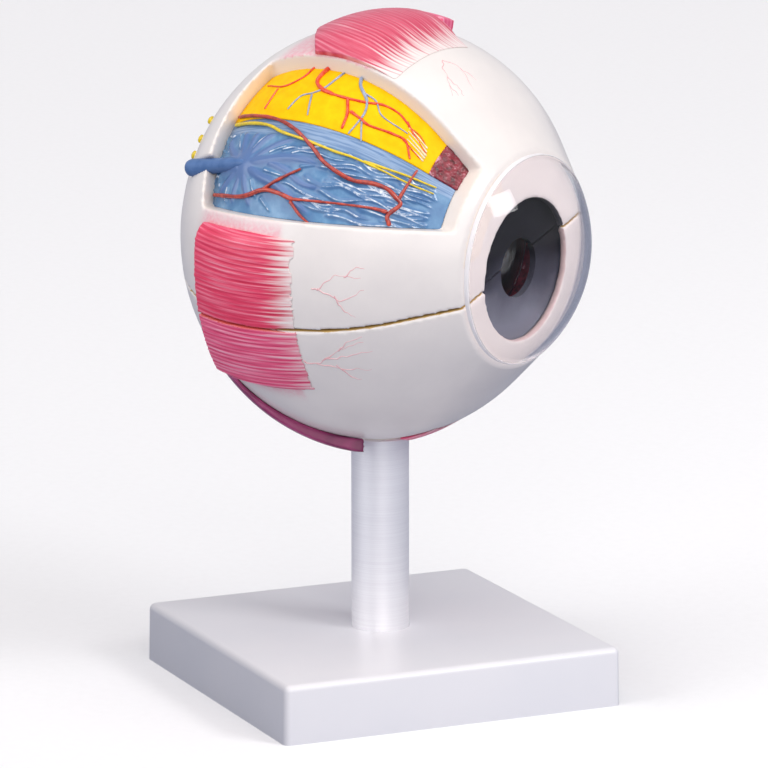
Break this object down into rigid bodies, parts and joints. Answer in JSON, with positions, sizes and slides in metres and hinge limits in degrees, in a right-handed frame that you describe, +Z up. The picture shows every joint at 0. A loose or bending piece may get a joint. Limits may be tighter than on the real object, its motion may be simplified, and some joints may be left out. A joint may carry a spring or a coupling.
{
  "type": "eye anatomy model",
  "caption": "Enlarged model of a human eyeball on a rod and square base, with a cut-away window, clear cornea, cut eye muscles and layers that lift apart.",
  "frame": {"origin": "centre of the base's underside, on the rod's axis, where the stand rests on the table", "axes": "+Z up along the rod; +X and +Y along the sides of the square base; the cornea looks 30 degrees from +X towards +Y and 3 degrees down"},
  "size_m": [0.135, 0.1276, 0.2079],
  "materials": {
    "base_plastic": "glossy white moulding",
    "felt": "felt",
    "rod_metal": "satin, turned",
    "steel": "plain",
    "brass": "turned",
    "nylon": "matte",
    "sclera": "semi-gloss paint, warm white",
    "muscle": "hand-painted fibres, semi-gloss",
    "nerve": "painted, semi-gloss",
    "nerve_cord": "painted, glossy",
    "choroid_lining": "painted, semi-gloss",
    "retina_lining": "painted, semi-gloss",
    "ciliary": "painted, glossy",
    "iris": "painted, glossy",
    "clear_vitreous": "clear",
    "clear_lens": "clear",
    "clear_cornea": "clear, polished",
    "choroid_blue": "painted, glossy",
    "retina_yellow": "painted, glossy",
    "vein": "painted, glossy",
    "artery": "painted, glossy"
  },
  "bodies": {
    "stand": {"base": "base_plastic", "base_pad": "felt", "rod": "rod_metal", "base_screw": "steel", "base_washer": "steel", "thrust_washer": "nylon", "pivot_screw": "steel"},
    "eye_lower": {"sclera_lower": "sclera", "pivot_bush": "brass", "parting_pegs": "steel", "lateral_rectus_lower": "muscle", "medial_rectus_lower": "muscle", "inferior_rectus": "muscle", "inferior_oblique": "muscle", "optic_nerve_lower": "nerve"},
    "lining_lower": {"choroid_lower": "choroid_lining", "retina_lower": "retina_lining", "ciliary_body_lower": "ciliary", "iris_lower": "iris"},
    "vitreous": {"vitreous_body": "clear_vitreous"},
    "crystalline_lens": {"lens": "clear_lens"},
    "lining_upper": {"choroid_upper": "choroid_lining", "retina_upper": "retina_lining", "ciliary_body_upper": "ciliary", "iris_upper": "iris"},
    "eye_upper": {"sclera_upper": "sclera", "cornea": "clear_cornea", "superior_rectus": "muscle", "superior_oblique": "muscle", "lateral_rectus_upper": "muscle", "medial_rectus_upper": "muscle", "optic_nerve_upper": "nerve", "ciliary_nerve_stubs": "nerve_cord", "choroid_window": "choroid_blue", "retina_window": "retina_yellow", "ciliary_window": "ciliary", "vortex_vein": "vein", "long_ciliary_artery": "artery", "short_ciliary_artery": "artery", "long_ciliary_nerve": "nerve_cord"}
  },
  "joints": [
    {"name": "turn_on_rod", "type": "hinge", "parent": "stand", "child": "eye_lower", "pos_m": [0, 0, 0.08], "axis": [0, 0, 1], "continuous": true},
    {"name": "lift_out_lower_lining", "type": "slide", "parent": "eye_lower", "child": "lining_lower", "axis": [0.1976, -0.2427, 0.9498], "range_m": [0, 0.06]},
    {"name": "lift_out_vitreous", "type": "slide", "parent": "lining_lower", "child": "vitreous", "axis": [0.1976, -0.2427, 0.9498], "range_m": [0, 0.06]},
    {"name": "lift_out_lens", "type": "slide", "parent": "vitreous", "child": "crystalline_lens", "axis": [0.1976, -0.2427, 0.9498], "range_m": [0, 0.03]},
    {"name": "lift_off_upper_lining", "type": "slide", "parent": "crystalline_lens", "child": "lining_upper", "axis": [0.1976, -0.2427, 0.9498], "range_m": [0, 0.06]},
    {"name": "lift_off_upper_half", "type": "slide", "parent": "lining_upper", "child": "eye_upper", "axis": [0.1976, -0.2427, 0.9498], "range_m": [0, 0.06]}
  ]
}
